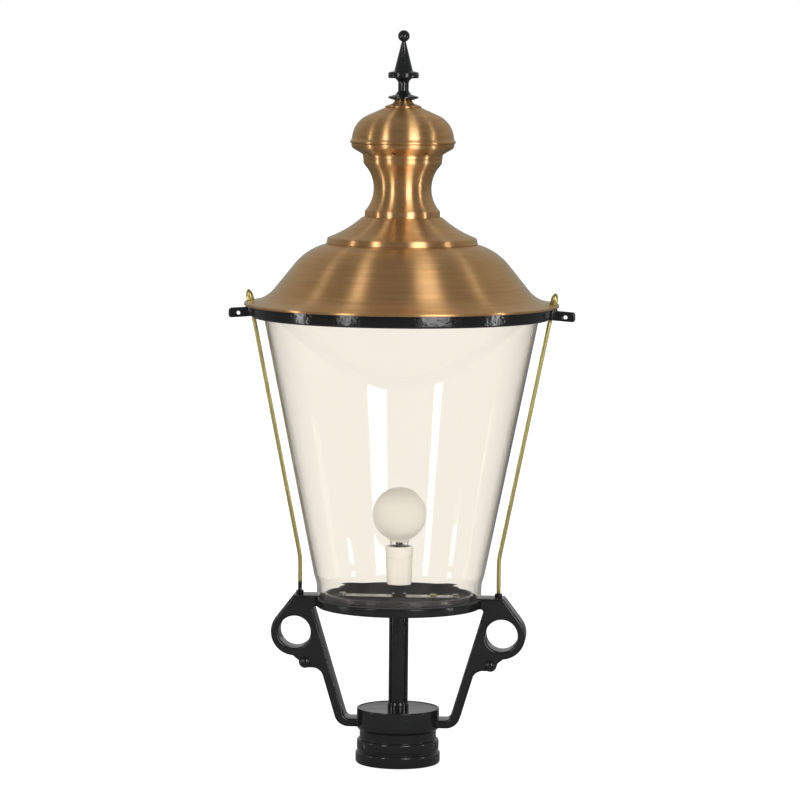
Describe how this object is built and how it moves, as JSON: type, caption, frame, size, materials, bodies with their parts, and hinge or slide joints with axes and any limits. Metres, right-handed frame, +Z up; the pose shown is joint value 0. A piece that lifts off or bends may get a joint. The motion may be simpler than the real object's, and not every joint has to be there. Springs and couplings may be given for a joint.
{
  "type": "post top lantern",
  "caption": "Post top lantern with a copper vented hood, clear tapered shade, brass tie rods and a black cast socket, ring and arms.",
  "frame": {"origin": "on the lantern's upright axis, in the plane of the post socket's foot", "axes": "+Z up along the post, X through the two arms and ears, -Y towards the viewer"},
  "size_m": [0.477, 0.4326, 1.0102],
  "materials": {
    "black_casting": "gloss black paint on a slightly uneven sand casting",
    "black_steel": "gloss black paint",
    "steel_fixings": "plain steel, slightly dulled",
    "copper": "brushed round and lacquered copper",
    "brass": "satin brass",
    "clear_shade": "polished clear acrylic with a faint warm tint",
    "rubber": "matt",
    "porcelain": "white glaze",
    "bulb_glass": "clear",
    "bulb_insulation": "black glass",
    "solder": "dull solder",
    "filament_wire": "drawn wire"
  },
  "bodies": {
    "frame": {"post_socket": "black_casting", "socket_set_screws": "steel_fixings", "stem_tube": "black_steel", "stem_nut": "black_steel", "stem_ring": "black_steel", "arm_left": "black_casting", "arm_right": "black_casting", "lug_bolts": "steel_fixings", "lug_nuts": "steel_fixings", "arm_screws": "steel_fixings", "lower_ring": "black_casting", "crossbar": "black_casting", "crossbar_screws": "steel_fixings", "earth_screw": "brass", "tie_rod_left": "brass", "tie_rod_right": "brass", "rod_lock_nuts": "black_steel", "shade": "clear_shade", "shade_foot_gasket": "rubber", "shade_rim_gasket": "rubber", "top_ring": "black_casting", "holder_nipple": "brass", "nipple_nut": "black_steel", "lampholder_body": "porcelain", "lampholder_ring": "porcelain", "contact_block": "porcelain", "contact_screws": "brass", "contact_tongue": "brass", "screw_shell": "brass"},
    "hood": {"hood": "copper", "hood_skirt": "copper", "vent_neck": "copper", "vent_collar": "copper", "vent_dome": "copper", "finial_seat": "copper", "finial": "black_casting", "hood_stud": "steel_fixings", "hood_bridge": "black_steel", "hood_stud_washer": "steel_fixings", "hood_stud_nut": "steel_fixings"},
    "washer_right": {"rod_washer_right": "brass"},
    "washer_left": {"rod_washer_left": "brass"},
    "acorn_right": {"acorn_nut_right": "brass"},
    "acorn_left": {"acorn_nut_left": "brass"},
    "bulb": {"bulb_contact": "solder", "bulb_insulator": "bulb_insulation", "bulb_cap": "brass", "bulb_globe": "bulb_glass", "bulb_mount": "bulb_glass", "bulb_filament": "filament_wire"}
  },
  "joints": [
    {"name": "hood_lift", "type": "slide", "parent": "frame", "child": "hood", "axis": [0, 0, 1], "range_m": [0, 0.12]},
    {"name": "washer_lift_right", "type": "slide", "parent": "frame", "child": "washer_right", "axis": [0.1966, 0, 0.9805], "range_m": [0, 0.14]},
    {"name": "acorn_turn_right", "type": "hinge", "parent": "washer_right", "child": "acorn_right", "pos_m": [0.2084, 0, 0.63855], "axis": [0.1966, 0, 0.9805], "continuous": true},
    {"name": "washer_lift_left", "type": "slide", "parent": "frame", "child": "washer_left", "axis": [-0.1966, 0, 0.9805], "range_m": [0, 0.14]},
    {"name": "acorn_turn_left", "type": "hinge", "parent": "washer_left", "child": "acorn_left", "pos_m": [-0.2084, 0, 0.63855], "axis": [-0.1966, 0, 0.9805], "continuous": true},
    {"name": "bulb_unscrew", "type": "hinge", "parent": "frame", "child": "bulb", "pos_m": [0, 0, 0.2767], "axis": [0, 0, 1], "range_deg": [0, 1170]}
  ],
  "couplings": [
    {"joint": "washer_lift_right", "follows": "hood_lift", "ratio": 1.15},
    {"joint": "washer_lift_left", "follows": "hood_lift", "ratio": 1.15}
  ]
}
